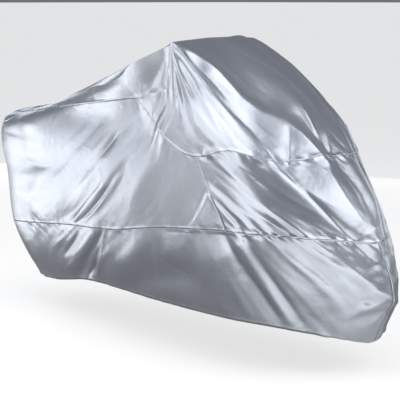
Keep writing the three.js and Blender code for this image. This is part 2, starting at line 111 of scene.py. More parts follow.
# Each runs through three places: the distance along the belt seam from the middle of the tail, right side
# first, and the height. Rise is up from the cloth, or down into it. Width is from the line to where it
# fades, a sharper fold has a lower roundness, and lean makes its right hand side, looking along it, the
# steeper one.
FOLD_COLUMNS = ("name", "from", "via", "to", "rise", "width", "roundness", "lean")
FOLDS = (
    ("hood valley", (1960, 1274), (2155, 1150), (2195, 1000), -14, 30, 1.3, -0.1),
    ("hood valley, low", (2195, 1000), (2238, 892), (2300, 770), -8, 18, 1.3, 0.3),
    ("nose valley", (2400, 555), (2455, 480), (2528, 424), -10, 40, 1.4, -0.3),
    ("hood ridge", (1970, 1277), (2172, 1215), (2238, 1090), 14, 32, 1.5, -0.3),
    ("hood ridge, low", (2205, 1185), (2250, 1075), (2330, 1000), 18, 44, 1.5, -0.35),
    ("hood flap", (2300, 1020), (2400, 962), (2475, 850), 20, 55, 1.4, 0.0),
    ("peak ridge", (1935, 1275), (2030, 1215), (2090, 1115), 20, 30, 1.2, -0.3),
    ("peak trough", (1855, 1268), (1975, 1140), (2040, 900), -5, 16, 1.5, 0.0),
    ("peak trough, rear", (1820, 1258), (1890, 1145), (1930, 1032), -5, 26, 1.5, 0.0),
    ("flap swell", (2460, 860), (2425, 730), (2455, 560), 6, 70, 1.6, 0.0),
    ("hood gap", (2490, 1040), (2515, 950), (2555, 850), -14, 42, 1.2, -0.4),
    ("hood gap, low", (2558, 950), (2552, 760), (2570, 590), -20, 62, 2, -0.12),
    ("hood streak", (2520, 1060), (2522, 985), (2530, 860), 6, 18, 1.4, 0.0),
    ("gusset trough", (1700, 1267), (1500, 1150), (1395, 1089), -9, 40, 1.6, 0.0),
    ("front trough", (2022, 860), (2200, 711), (2480, 396), -10, 46, 1.6, 0.4),
    ("front ridge", (2055, 890), (2260, 790), (2430, 515), 6, 44, 1.5, -0.2),
    ("front tension, upper", *UPPER_TENSION, 6, 28, 1.3, 0.3),
    ("front tension, lower", *LOWER_TENSION, 5, 18, 1.3, 0.2),
    ("corner tension", (1900, 746), (1948, 676), (2040, 588), 6, 22, 1.4, 0.0),
    ("skirt furrow, front", *FRONT_FURROW, -9, 36, 1.5, -0.45),
    ("skirt ridge, front", (1970, 530), (2100, 373), (2218, 199), 8, 30, 1.5, 0.0),
    ("skirt furrow, nose", *NOSE_FURROW, -9, 36, 1.4, -0.5),
    ("skirt roll, front", (2000, 420), (2220, 400), (2420, 360), 8, 110, 2, 0.0),
    ("skirt swell, nose", (2120, 520), (2290, 370), (2400, 190), 8, 60, 1.8, 0.0),
    ("nose tuck", (2360, 229), (2482, 266), (2520, 286), -9, 32, 1.6, 0.0),
    ("saddle roll", (700, 968), (940, 1012), (1190, 1062), 9, 40, 1.6, 0.0),
    ("tail crease", (235, 826), (500, 811), (690, 813), -4, 40, 1.6, 0.0),
    ("tail arc", (372, 700), (560, 690), (760, 750), -4, 40, 1.6, 0.0),
    ("side furrow, rear", (1070, 702), (905, 552), (672, 463), -12, 42, 1.6, 0.0),
    ("side ridge", (1188, 776), (1018, 604), (792, 458), 10, 36, 1.5, 0.0),
    ("side furrow", (1250, 790), (1080, 617), (885, 468), -7, 38, 1.5, 0.0),
    ("gusset ridge", (1558, 897), (1400, 722), (1230, 514), 5, 70, 1.8, 0.0),
    ("skirt ridge, rear", (1048, 469), (880, 345), (640, 240), 14, 36, 1.5, 0.0),
    ("skirt furrow, rear", (1085, 472), (960, 350), (720, 219), -16, 36, 1.5, 0.0),
    ("skirt swell", (1450, 515), (1330, 375), (1218, 302), 12, 60, 2, 0.0),
    ("skirt swell, front", (1592, 535), (1615, 460), (1632, 393), 10, 60, 2, 0.0),
    ("hem hollow", (1275, 258), (1628, 349), (1810, 342), -10, 60, 2, 0.0),
    ("left hood swell", (3090, 1275), (3000, 1205), (2915, 1010), 44, 125, 2, 0.0),
    ("left flank hollow", (2910, 950), (2845, 800), (2800, 560), -20, 110, 2, 0.0),
    ("left nose hollow", (2770, 490), (2675, 370), (2590, 240), -24, 90, 2, 0.0),
    ("left peak trough", (3190, 1262), (3090, 1120), (3010, 900), -14, 50, 1.6, 0.0),
    ("left gusset ridge", (3470, 890), (3640, 720), (3800, 520), 14, 70, 1.8, 0.0),
    ("left front trough", (2950, 850), (2830, 700), (2620, 400), -18, 50, 1.6, 0.0),
    ("left front ridge", (3080, 800), (2960, 640), (2700, 340), 14, 46, 1.6, 0.0),
    ("left side ridge", (3870, 770), (4040, 600), (4260, 455), 14, 42, 1.5, 0.0),
    ("left side furrow", (3960, 740), (4130, 570), (4330, 460), -12, 42, 1.5, 0.0),
    ("left tail crease", (4810, 824), (4560, 800), (4360, 815), -9, 40, 1.6, 0.0),
    ("left skirt furrow, front", (3160, 556), (2990, 372), (2860, 205), -15, 40, 1.6, 0.0),
    ("left skirt ridge, rear", (3990, 470), (4170, 350), (4400, 238), 14, 42, 1.5, 0.0),
    ("left skirt swell", (3500, 530), (3570, 410), (3680, 300), 10, 60, 2, 0.0),
)
CREASES = (
    ("hood valley line", (2040, 1226), (2190, 1005), (2290, 789), -7, 13, 1.1, 0.2),
    ("hood valley line, low", (2240, 880), (2340, 690), (2455, 480), -8, 12, 1.1, 0.0),
    ("hood ridge line", (1990, 1274), (2200, 1190), (2240, 1069), 5, 15, 1.1, 0.0),
    ("flap line", (2390, 968), (2460, 873), (2482, 825), 7, 15, 1.1, 0.0),
    ("flap edge", (2482, 835), (2462, 740), (2486, 610), 4, 14, 1.3, -0.3),
    ("flap fold", (2388, 963), (2340, 900), (2292, 836), -9, 18, 1.2, 0.0),
    ("streak line", (2522, 1050), (2520, 988), (2525, 860), 4, 12, 1.1, 0.0),
    ("dart", *DART, 4, 8, 1.6, 0.0),
    ("tongue", (1940, 893), (1985, 840), (2040, 790), 6, 18, 1.4, 0.0),
    ("peaked fold, rear limb", (1885, 715), (1790, 640), (1640, 440), 6, 22, 1.5, 0.0),
    ("peaked fold, rear edge", (1868, 720), (1780, 651), (1695, 570), -5, 24, 1.6, 0.0),
    ("peaked fold, front limb", (1875, 707), (1918, 649), (1955, 600), 7, 14, 1.2, 0.0),
    ("peaked fold, tuck", (1730, 545), (1840, 550), (1950, 560), -9, 55, 1.6, -0.5),
    ("peaked fold, front hollow", (1900, 690), (1945, 640), (1990, 580), -6, 22, 1.5, 0.0),
    ("tension line, upper", *UPPER_TENSION, 4, 11, 1.1, -0.2),
    ("tension line, lower", *LOWER_TENSION, 3.5, 11, 1.1, -0.2),
    ("tension valley, upper", (1945, 850), (2020, 780), (2139, 681), -6, 16, 1.1, 0.0),
    ("tension valley, middle", (1940, 805), (2035, 721), (2106, 651), -4, 10, 1.1, 0.0),
    ("tension valley, lower", (1895, 770), (1975, 702), (2065, 613), -6, 14, 1.1, 0.0),
    ("furrow line, front", *FRONT_FURROW, -4, 14, 1.2, -0.4),
    ("furrow line, nose", *NOSE_FURROW, -4, 14, 1.2, -0.4),
    ("nose line", (2465, 208), (2492, 239), (2518, 265), 5, 12, 1.2, 0.0),
    ("nose facet", (2380, 246), (2448, 283), (2540, 296), 10, 22, 1.3, 0.2),
    ("tail fold", (235, 565), (400, 515), (620, 440), 7, 55, 1.6, 0.0),
    ("tail line", (235, 826), (400, 818), (560, 812), -4, 12, 1.2, 0.0),
    ("tail arc, lower", (380, 705), (500, 692), (628, 700), -3, 14, 1.3, 0.0),
    ("side crease, upper", (1118, 901), (1090, 847), (1050, 796), -6, 16, 1.4, 0.0),
    ("skirt line, rear", (1090, 465), (1040, 400), (960, 332), 5, 12, 1.2, 0.0),
    ("skirt slit", (975, 320), (920, 282), (838, 234), -14, 15, 1.3, 0.5),
    ("skirt line, tail", (880, 442), (770, 360), (660, 301), -6, 16, 1.3, 0.0),
    ("saddle hollow", (1040, 1112), (1150, 1140), (1290, 1165), -5, 50, 2, 0.0),
    ("saddle crease", (955, 1069), (965, 1045), (975, 1020), -5, 14, 1.3, 0.0),
)

# Steps along a fold's path, how many widths from it the cloth is lifted, and where its taper stops
FOLD_STEPS = 16
FOLD_REACH = 3.0
FOLD_END = 0.02

# Fans of like creases, spread evenly from a first path to a last one. Every second crease is a trough.
FAN_COLUMNS = ("name", "count", "rise", "width", "first", "last")
FANS = (
    ("peak", 9, 3.5, 13,
     ((1760, 1270), (1620, 1170), (1560, 1060)), ((1890, 1240), (1960, 1130), (2000, 960))),
    ("hood", 5, 3.0, 16,
     ((2000, 1180), (2060, 1080), (2080, 900)), ((2110, 1150), (2170, 1010), (2215, 880))),
    ("front", 11, 2.6, 13,
     ((1940, 790), (2130, 650), (2470, 360)), ((1905, 690), (2010, 560), (2250, 330))),
    ("side", 6, 4.5, 13,
     ((1150, 700), (980, 560), (760, 440)), ((1200, 720), (1110, 600), (960, 470))),
    ("skirt front", 8, 2.6, 18,
     ((1990, 540), (2150, 372), (2270, 200)), ((2300, 560), (2400, 420), (2490, 290))),
    ("skirt rear", 6, 4.5, 14,
     ((1000, 440), (850, 320), (700, 250)), ((1110, 470), (1030, 350), (930, 240))),
    ("nose", 6, 1.6, 15,
     ((2380, 330), (2450, 300), (2530, 300)), ((2400, 180), (2470, 200), (2540, 230))),
)
FAN_JITTER = {"place": 12.0, "rise": 0.45}
FAN_ROUNDNESS, FAN_LEAN = 1.3, 0.0

# Patches of small wrinkles that all run one way: their middle, how far they reach, a step along them, the
# distance from one to the next, how long they are and how high. They wander a little, and carry finer ones.
WRINKLE_COLUMNS = ("name", "middle", "reach", "run", "pitch", "length", "height")
WRINKLES = (
    ("slack", (1400, 700), (1500, 600), (-300, -260), 130, 330, 3.5),
    ("hood", (2120, 1060), (230, 220), (340, -480), 34, 320, 2.6),
    ("front", (2180, 640), (330, 230), (578, -490), 30, 300, 1.7),
    ("gusset", (1560, 1000), (230, 180), (-300, -260), 40, 260, 2.2),
    ("side", (1000, 650), (420, 220), (-396, -318), 46, 280, 2.4),
    ("tail", (420, 640), (300, 200), (300, 60), 60, 240, 2.2),
    ("skirt rear", (820, 340), (320, 120), (-390, -230), 34, 200, 3.0),
    ("skirt middle", (1500, 380), (330, 120), (60, -300), 60, 240, 2.5),
    ("skirt front", (2130, 370), (230, 170), (300, -350), 34, 260, 1.7),
    ("nose", (2520, 400), (260, 240), (420, -200), 36, 240, 1.8),
)
WANDER = {"share": 0.6, "shift": 9.1, "seed": 50}
FINER = {"across": 2.1, "along": 1.7, "share": 0.4, "seed": 100}

# Puckers along a seam: from and to are places along the belt, reach is how far they run from the seam
PUCKER_COLUMNS = ("name", "level", "from", "to", "pitch", "height", "reach")
PUCKERS = (
    ("belt, front", "belt", 1900, 2620, 22, 4.0, 30),
    ("belt, tail", "belt", 250, 760, 26, 3.0, 28),
    ("belt, all round", "belt", -200, 5300, 24, 1.4, 22),
    ("crown seam, front", "seam", 1850, 2900, 24, 4.5, 30),
    ("crown seam, all round", "seam", -200, 5300, 26, 1.4, 22),
    ("hem, nose", "hem", 2200, 2900, 30, 4.5, 60),
    ("hem, tail", "hem", -520, 520, 30, 4.5, 60),
    ("hem, all round", "hem", -600, 5700, 42, 1.6, 40),
)

# Puckers fade out over a share of half their stretch of seam, and slant away from it
PUCKER_FADE, PUCKER_SLANT, PUCKER_SHIFT = 0.2, 0.5, 20.0

# The left side has the small creases of the right one, a little further on and lower
LEFT_SHIFT, LEFT_SHARE = 30.0, 0.85

# Seeds of what is uneven, and the size of the lattice of its noise
LEFT_SEED, PUCKER_SEED, FAN_SEED = 20, 200, 4
NOISE_SIZE = 64

# Sewing: the welt beside each seam, the hem with its elastic, and the rows of stitches
WELT_HEIGHT, WELT_WIDTH = 1.3, 5.0
GROOVE_DEPTH, GROOVE_WIDTH = 0.4, 3.0
HEM_STITCH, HEM_ROLL, HEM_CURL = 18.0, 2.0, 7.0
STITCH_OFFSET, STITCH_PROUD = 6.0, 0.3
DART_ROWS = (-4.0, 4.0)

# Steps of a row of stitches, the share of a level that an upright row stays clear of the next seam, and the
# bead that is drawn out to a stitch
LINE_STEPS = 80
UPRIGHT_END = 0.02
BEAD_RADIUS = 0.5

# The crown's edge is rounded off over a few rows, and its two peaks more
RIDGE_ROWS, RIDGE_PASSES = 9, 14
PEAK_REACH, PEAK_PASSES = 45.0, 60
MOVING_LEAST = 0.001

# Finish of the cloth and the thread
BEND_PASSES, BEND_FULL = 12, 1.2
# Share of the cloth's bend painted into its colour: painted shade in the valleys, lighter on the ridges
PAINTED_CREASE_SHADE = 0.35
PATCH_SCALE, PATCH_DETAIL = 3.0, 3.0
ROUGH_RANGE = 0.12
CRINKLE_DEPTH = 0.006
CRINKLE_SCALES = {"Coarse": 14.0, "Fine": 55.0}
CRINKLE_DETAIL, CRINKLE_DISTORTION = 2.0, 0.6
FINE_CRINKLE = 0.35
WEAVE_THREADS, WEAVE_STRENGTH, WEAVE_DEPTH = 2400.0, 0.05, 0.0002
THREAD_ROUGHNESS = 0.6

# Studio: the floor as it is seen, and as the cloth mirrors it. There its light is painted as a glow over a
# dark
# colour: its brightness runs from a rear place to a fore one, and each pool of painted light adds to it, in
# full near its middle and fading out at its end.
FLOOR_HALF = 600.0
FLOOR_COLOUR, FLOOR_GLOW = (0.45, 0.45, 0.45), 0.7
FLOOR_MIRRORED = (0.08, 0.08, 0.08)
FLOOR_REAR, FLOOR_FORE = (-2.0, 0.22), (0.2, 0.13)
POOL_COLUMNS = ("name", "middle", "full", "end", "brightness")
POOLS = (
    ("front", (2.3, -0.7), 0.65, 1.1, 0.8),
    ("front, far", (3.7, -0.75), 1.0, 1.5, 0.9),
    ("front, far right", (2.5, -2.8), 1.1, 1.7, 0.9),
    ("nose", (1.5, 0.12), 0.2, 0.42, 0.28),
    ("nose, front", (2.45, 0.5), 0.35, 0.65, 0.85),
    ("front, near", (1.45, -0.9), 0.3, 0.55, 0.22),
    ("front, middle", (1.15, -1.95), 0.35, 0.6, 0.9),
    ("front, right", (0.6, -3.0), 0.95, 1.35, 1.0),
    ("right", (-0.8, -4.6), 1.2, 2.8, 0.75),
    ("rear", (-4.6, -1.3), 1.0, 2.4, 1.0),
    ("tail", (-2.4, -0.6), 0.4, 0.8, 0.5),
    ("tail, right", (-2.8, -1.3), 0.6, 1.1, 1.0),
)
WORLD_COLOUR = (0.155, 0.165, 0.185)

# Soft lights, each with its place and what it faces
LIGHT_COLUMNS = ("name", "place", "aim", "width", "height", "radiance")
LIGHTS = (
    ("overhead", (0.25, -0.9, 3.0), (0.25, -0.9, 0.0), 3.4, 3.2, 1.5),
    ("right, high", (-1.05, -3.3, 2.6), (0.4, -0.3, 0.0), 3.6, 2.4, 1.4),
    ("right, low", (-1.87, -4.1, 0.8), (0.4, -0.35, 0.0), 5.7, 1.6, 1.15),
    ("right, near", (-0.22, -4.1, -0.5), (-0.22, 0.0, -0.5), 2.45, 1.0, 1.0),
    ("rear, left", (-5.2, 2.35, 0.6), (-0.8, 0.0, -0.1), 3.0, 3.2, 1.2),
    ("rear", (-5.0, -1.95, -0.5), (0.0, 0.0, -0.35), 1.7, 1.1, 1.9),
    ("front", (3.5, 1.28, 1.75), (0.9, -0.1, -0.2), 4.2, 3.3, 1.4),
    ("peak", (1.44, -1.28, 1.05), (0.75, -0.3, 1.05), 1.0, 1.1, 1.3),
    ("front, low", (3.3, 2.3, -0.35), (1.3, 0.0, -0.5), 1.4, 0.6, 1.0),
    ("left, low", (-0.6, 5.0, -0.1), (0.5, 0.0, -0.2), 5.0, 1.7, 0.75),
)


def named_rows(columns, rows):
    """The rows of a table, with their values under the names of its columns."""
    return [dict(zip(columns, row)) for row in rows]


def ease(value, start, full):
    """A smooth rise from 0 at the start to 1 where it is full."""
    t = np.clip((value - start) / (full - start), 0.0, 1.0)
    return t * t * (3.0 - 2.0 * t)


def unit(vectors):
    """The same directions with a length of one."""
    return vectors / np.maximum(np.linalg.norm(vectors, axis=-1, keepdims=True), 1e-9)


def hermite(p0, p1, m0, m1, t):
    """Points on a curve that leaves one point along m0 and arrives at the next along m1."""
    t2, t3 = t * t, t * t * t
    return p0 * (2 * t3 - 3 * t2 + 1) + m0 * (t3 - 2 * t2 + t) + p1 * (3 * t2 - 2 * t3) + m1 * (t3 - t2)


class Falls:
    """The lines down which the cloth falls, all round the cover."""

    def __init__(self):
        right = named_rows(FALL_COLUMNS, RIGHT_FALLS)
        around = [(row, 1) for row in right] + [(row, -1) for row in right[-2:0:-1]]
        self.names = [row["name"] for row, _ in around]
        self.points = {k: np.array([np.array(r[k]) * (1, s, 1) for r, s in around], float) for k in LEVELS}
        self.pushes = {k: np.array([[r[k]] for r, _ in around], float) for k in PUSHES}
        belt = self.points["belt"]
        self.spans = np.linalg.norm(np.roll(belt, -1, axis=0) - belt, axis=1)
        self.places = np.concatenate(([0.0], np.cumsum(self.spans)[:-1]))
        self.girth = float(self.spans.sum())

    def place_of(self, name):
        """How far along the belt a fall of the right side stands."""
        return self.places[self.names.index(name)]

    def read(self, values, places, corner=None):
        """A smooth closed curve through one value of every fall, read at places along the belt."""
        at = np.mod(places, self.girth)
        k = np.searchsorted(self.places, at, side="right") - 1
        following = (k + 1) % len(self.places)
        spans = self.spans[:, None]
        before = np.roll(spans, 1, axis=0)
        slopes = (np.roll(values, -1, axis=0) - values) / spans
        arriving = np.roll(slopes, 1, axis=0)
        leave = (slopes * before + arriving * spans) / (spans + before)
        arrive = leave.copy()
        for i in (i for i, name in enumerate(self.names) if name == corner):
            leave[i], arrive[i] = slopes[i], arriving[i]
        t = ((at - self.places[k]) / self.spans[k])[:, None]
        width = spans[k]
        return hermite(values[k], values[following], leave[k] * width, arrive[following] * width, t)

    def point(self, level, places):
        """Points of the cloth at one level, before they are steered."""
        return self.read(self.points[level], places, SEAM_CORNER if level == "seam" else None)

    def outward(self, places):
        """The level direction away from the cover."""
        ahead = self.point("belt", places + 1.0) - self.point("belt", places - 1.0)
        return unit(np.stack((ahead[:, 1], -ahead[:, 0], np.zeros(len(places))), axis=1))


class Drape:
    """The cloth before it has any folds."""

    def __init__(self, turn, swing):
        self.falls = Falls()
        self.turn = turn
        self.swing = swing

    def steer(self, points):
        """The turn of the two peaks and the swing of the nose."""
        x, y, z = (points[..., i] for i in range(3))
        turned = ease(z, TURN_FROM["height"], TURN_FULL["height"]) * ease(x, TURN_FROM["x"], TURN_FULL["x"])
        angle = self.turn * turned
        reach = np.clip(1.0 - np.abs(x - TURN_X) / TURN_REACH, 0.0, None)
        dx = x - TURN_X
        new_x = TURN_X + dx * np.cos(angle) - y * np.sin(angle)
        new_y = dx * np.sin(angle) + y * np.cos(angle)
        fore = ease(x, SWING_FROM["x"], SWING_FULL["x"])
        low = np.clip((SWING_FROM["height"] - z) / (SWING_FROM["height"] - SWING_FULL["height"]), 0.0, 1.0)
        moved_y = y + (new_y - y) * reach + self.swing * fore * low
        return np.stack((x + (new_x - x) * reach, moved_y, z), axis=-1)

    def knots(self, places):
        """Seven points up each fall, and the curve's direction and step at each."""
        falls = self.falls
        outward = falls.outward(places)
        hem, belt, seam, crown = (falls.point(level, places) for level in LEVELS)

        def halfway(low, high, push):
            rise = unit(high - low)
            out = unit(outward - rise * np.sum(outward * rise, axis=1, keepdims=True))
            return (low + high) / 2 + out * falls.read(falls.pushes[push], places)

        column = [hem, halfway(hem, belt, "belly"), belt, halfway(belt, seam, "chest"), seam]
        column += [halfway(seam, crown, "crest"), crown]
        points = self.steer(np.stack(column, axis=1))
        steps = np.diff(points, axis=1)
        chords = np.linalg.norm(steps, axis=2, keepdims=True)
        slopes = steps / chords
        below, above = chords[:, :-1], chords[:, 1:]
        inner = (slopes[:, :-1] * above + slopes[:, 1:] * below) / (above + below)
        tangents = np.concatenate((slopes[:, :1], inner, slopes[:, -1:]), axis=1)
        return points, tangents, chords

    def at(self, places, levels):
        """Points of the cloth, one for each place and level."""
        points, tangents, chords = self.knots(places)
        k = np.clip((levels * SPANS_A_LEVEL).astype(int), 0, LAST_SPAN)
        t = (levels * SPANS_A_LEVEL - k)[:, None]
        row = np.arange(len(places))
        chord = chords[row, k]
        leave, arrive = tangents[row, k] * chord, tangents[row, k + 1] * chord
        return hermite(points[row, k], points[row, k + 1], leave, arrive, t)

    def levels_at(self, places, heights):
        """The levels at which the cloth reaches the given heights."""
        low, high = (np.full(len(places), float(LEVELS.index(level))) for level in ("hem", "crown"))
        for _ in range(HEIGHT_HALVINGS):
            middle = (low + high) / 2
            below = self.at(places, middle)[:, 2] < heights
            low, high = np.where(below, middle, low), np.where(below, high, middle)
        return low

    def on_cloth(self, spots):
        """The points of the cloth at distances along the belt and heights."""
        places, heights = np.array(spots, float).T
        return self.at(places, self.levels_at(places, heights))


def gathered_steps(count):
    """Steps from 0 to 1 that lie closer together at both ends, where the seams are."""
    t = np.linspace(0.0, 1.0, count + 1)
    return t - ROW_GATHER * np.sin(2 * np.pi * t) / (2 * np.pi)


class ClothGrid:
    """Numbers of the mesh points: row by row round the cover, then the inside of the top."""

    def __init__(self, falls):
        half = ACROSS // 2
        ridge, peak, nose = (falls.place_of(name) for name in ("rear side", "peak", "nose centre"))
        tail = np.linspace(0.0, ridge, half + 1)[:-1]
        side = np.linspace(ridge, peak, ALONG + 1)[:-1]
        front = np.linspace(peak, nose, half + 1)
        right = np.concatenate((tail, side, front))
        self.places = np.concatenate((right, falls.girth - right[-2:0:-1]))
        self.girth = falls.girth
        self.count = len(self.places)
        rows = (SKIRT_ROWS, BAND_ROWS, CROWN_ROWS)
        skirt, band, crown = (level + gathered_steps(count) for level, count in enumerate(rows))
        self.levels = np.concatenate((skirt[:-1], band[:-1], crown))
        self.row = dict(zip(LEVELS, np.cumsum((0, *rows)).tolist()))
        self.peak = half + ALONG
        self.nose = self.peak + half
        self.left_peak = self.nose + half
        self.top = self.top_numbers(half)

    def ring(self, rows, columns):
        """Numbers of points in the rows round the cover."""
        return rows * self.count + np.mod(columns, self.count)

    def top_numbers(self, half):
        """Numbers of the points of the top, whose four edges are the crown's row."""
        along, across = np.meshgrid(np.arange(ALONG + 1), np.arange(ACROSS + 1), indexing="ij")
        crown = self.row["crown"]
        numbers = (crown + 1) * self.count + (along - 1) * (ACROSS - 1) + across - 1
        numbers[0] = self.ring(crown, half - across[0])
        numbers[-1] = self.ring(crown, self.peak + across[-1])
        numbers[:, 0] = self.ring(crown, half + along[:, 0])
        numbers[:, -1] = self.ring(crown, -half - along[:, -1])
        return numbers

    def band_quads(self, rows, columns):
        """The faces between two rows and two columns."""
        row, column = np.meshgrid(np.arange(*rows), np.arange(*columns), indexing="ij")
        corners = [self.ring(row + up, column + on) for up, on in ((0, 0), (0, 1), (1, 1), (1, 0))]
        return np.stack(corners, axis=-1).reshape(-1, 4)

    def top_quads(self):
        top = self.top
        return np.stack((top[:-1, :-1], top[1:, :-1], top[1:, 1:], top[:-1, 1:]), axis=-1).reshape(-1, 4)

    def panels(self):
        """The faces of each panel."""
        hem, belt, seam, crown = (self.row[level] for level in LEVELS)
        upper = self.band_quads((seam, crown), (0, self.count))
        return {
            "crown_panel": np.concatenate((upper, self.top_quads())),
            "side_panel_right": self.band_quads((belt, seam), (0, self.peak)),
            "front_panel": self.band_quads((belt, seam), (self.peak, self.left_peak)),
            "side_panel_left": self.band_quads((belt, seam), (self.left_peak, self.count)),
            "skirt_right": self.band_quads((hem, belt), (0, self.nose)),
            "skirt_left": self.band_quads((hem, belt), (self.nose, self.count)),
        }


def mesh_normals(points, quads):
    """The outward direction of the cloth at every point."""
    a, b, c, d = (points[quads[:, i]] for i in range(4))
    faces = np.cross(c - a, d - b)
    normals = np.zeros_like(points)
    for i in range(4):
        np.add.at(normals, quads[:, i], faces)
    return unit(normals)


def top_patch(grid, ring, dip):
    """The top fills the crown's edge as a patch blended from its four sides, and sags in the middle."""
    edge = ring[np.where(grid.top < len(ring), grid.top, 0)]
    a = np.linspace(0, 1, ALONG + 1)[:, None, None]
    b = np.linspace(0, 1, ACROSS + 1)[None, :, None]
    ends = edge[:1] * (1 - a) + edge[-1:] * a
    sides = edge[:, :1] * (1 - b) + edge[:, -1:] * b
    corners = (edge[:1, :1] * (1 - b) + edge[:1, -1:] * b) * (1 - a)
    corners = corners + (edge[-1:, :1] * (1 - b) + edge[-1:, -1:] * b) * a
    patch = ends + sides - corners
    patch[..., 2] -= dip * (np.sin(np.pi * a) ** 2 * np.sin(np.pi * b))[..., 0]
    return patch[1:-1, 1:-1].reshape(-1, 3)


def fold_lift(drape, points, normals, fold):
    """How far a fold lifts the cloth: full on its line, fading to its width and to its two ends."""
    start, via, end = drape.on_cloth((fold["from"], fold["via"], fold["to"]))
    bend = 2 * via - (start + end) / 2
    t = np.linspace(0, 1, FOLD_STEPS + 1)[:, None]
    line = start * (1 - t) ** 2 + bend * 2 * t * (1 - t) + end * t * t
    reach = FOLD_REACH * fold["width"]
    inside = np.all((points > line.min(axis=0) - reach) & (points < line.max(axis=0) + reach), axis=1)
    near = np.flatnonzero(inside)
    spot, normal = points[near], normals[near]
    best = np.full(len(near), np.inf)
    along = np.zeros(len(near))
    side = np.zeros(len(near))
    for i in range(FOLD_STEPS):
        step = line[i + 1] - line[i]
        share = np.clip((spot - line[i]) @ step / (step @ step), 0.0, 1.0)
        away = spot - line[i] - share[:, None] * step
        distance = np.linalg.norm(away, axis=1)
        closer = distance < best
        best = np.where(closer, distance, best)
        along = np.where(closer, (i + share) / FOLD_STEPS, along)
        right = np.sum(away * np.cross(step, normal), axis=1)
        side = np.where(closer, np.sign(right), side)
    width = fold["width"] * (1 - fold["lean"] * side)
    taper = np.sqrt(np.sin(np.pi * np.clip(along, FOLD_END, 1 - FOLD_END)))
    lift = np.zeros(len(points))
    lift[near] = fold["rise"] * taper * np.exp(-((best / width) ** fold["roundness"]))
    return lift


def lattice_noise(u, v, seed):
    """Smooth noise from -1 to 1 on a repeating lattice."""
    table = np.random.default_rng(seed).uniform(-1.0, 1.0, (NOISE_SIZE, NOISE_SIZE))
    iu, iv = np.floor(u).astype(int), np.floor(v).astype(int)
    fu, fv = u - iu, v - iv
    fu, fv = fu * fu * (3 - 2 * fu), fv * fv * (3 - 2 * fv)
    rows = [[table[(iu + i) % NOISE_SIZE, (iv + j) % NOISE_SIZE] for j in (0, 1)] for i in (0, 1)]
    low, high = (first * (1 - fv) + second * fv for first, second in rows)
    return low * (1 - fu) + high * fu


def wrinkle_lift(places, heights, girth, row, seed):
    """A patch of small wrinkles that run one way."""
    on = np.mod(places - row["middle"][0] + girth / 2, girth) - girth / 2
    up = heights - row["middle"][1]
    window = np.exp(-((on / row["reach"][0]) ** 2) - (up / row["reach"][1]) ** 2)
    run = np.array(row["run"], float) / np.hypot(*row["run"])
    along, across = on * run[0] + up * run[1], on * -run[1] + up * run[0]
    u, v = across / row["pitch"], along / row["length"]
    aside = lattice_noise(v + WANDER["shift"], across / row["length"], seed + WANDER["seed"])
    aside = WANDER["share"] * aside
    wave = lattice_noise(u + aside, v, seed)
    fine = lattice_noise(u * FINER["across"] + aside, v * FINER["along"], seed + FINER["seed"])
    return row["height"] * window * (wave + FINER["share"] * fine)


def pucker_lift(places, away, girth, row, seed):
    """Small ripples that run from a seam into the cloth on both sides of it."""
    middle, half = (row["from"] + row["to"]) / 2, (row["to"] - row["from"]) / 2
    on = np.mod(places - middle + girth / 2, girth) - girth / 2
    window = ease(half - np.abs(on), 0.0, PUCKER_FADE * half) if 2 * half < girth else 1.0
    u, v = (places + PUCKER_SLANT * away) / row["pitch"], away / row["reach"]
    return row["height"] * window * lattice_noise(u, v + PUCKER_SHIFT, seed) * np.exp(-np.abs(v))


def mirrored(rows, girth):
    """The creases of the right side, a little further on and softer, for the left side."""
    turned = []
    for row in rows:
        spots = {k: (girth - row[k][0] - LEFT_SHIFT, row[k][1]) for k in ("from", "via", "to")}
        turned.append({**row, **spots, "rise": row["rise"] * LEFT_SHARE, "lean": -row["lean"]})
    return turned


def evened(points, quads, moving, passes):
    """Draws points towards the middle of their neighbours, as far as each may move."""
    quads = quads[np.any(moving[quads] > MOVING_LEAST, axis=1)]
    used, numbers = np.unique(quads, return_inverse=True)
    numbers = numbers.reshape(-1, 4)
    pairs = np.concatenate([numbers[:, [i, (i + 1) % 4]] for i in range(4)])
    first, second = np.concatenate((pairs, pairs[:, ::-1])).T
    count = np.bincount(first, minlength=len(used))[:, None]
    near = points[used]
    share = moving[used][:, None] / 2
    for _ in range(passes):
        total = [np.bincount(first, weights=near[second, axis], minlength=len(used)) for axis in range(3)]
        near = near + share * (np.stack(total, axis=1) / count - near)
    points = points.copy()
    points[used] = near
    return points


class Cloth(typing.NamedTuple):
    """The whole cloth, before it is cut into panels."""

    drape: Drape
    grid: ClothGrid
    panels: dict
    points: np.ndarray
    normals: np.ndarray
    run: np.ndarray
    flat: np.ndarray
    bend: np.ndarray


def fan_creases(row, random):
    """The creases of one fan, as uneven as cloth is."""
    creases = []
    for i in range(row["count"]):
        share = i / (row["count"] - 1)
        spots = np.array(row["first"]) * (1 - share) + np.array(row["last"]) * share
        spots = spots + random.normal(0.0, FAN_JITTER["place"], spots.shape)
        rise = row["rise"] * (1 if i % 2 else -1) * (1.0 + FAN_JITTER["rise"] * random.normal())
        values = (row["name"], *spots, rise, row["width"], FAN_ROUNDNESS, FAN_LEAN)
        creases.append(dict(zip(FOLD_COLUMNS, values)))
    return creases


def fold_heights(drape, points, normals, folds, creases):
    """How far the folds and creases lift every point."""
    rows = [(folds, fold) for fold in named_rows(FOLD_COLUMNS, FOLDS)]
    small = named_rows(FOLD_COLUMNS, CREASES)
    random = np.random.default_rng(FAN_SEED)
    for fan in named_rows(FAN_COLUMNS, FANS):
        small += fan_creases(fan, random)
    rows += [(creases, crease) for crease in small + mirrored(small, drape.falls.girth)]
    return sum(share * fold_lift(drape, points, normals, row) for share, row in rows)


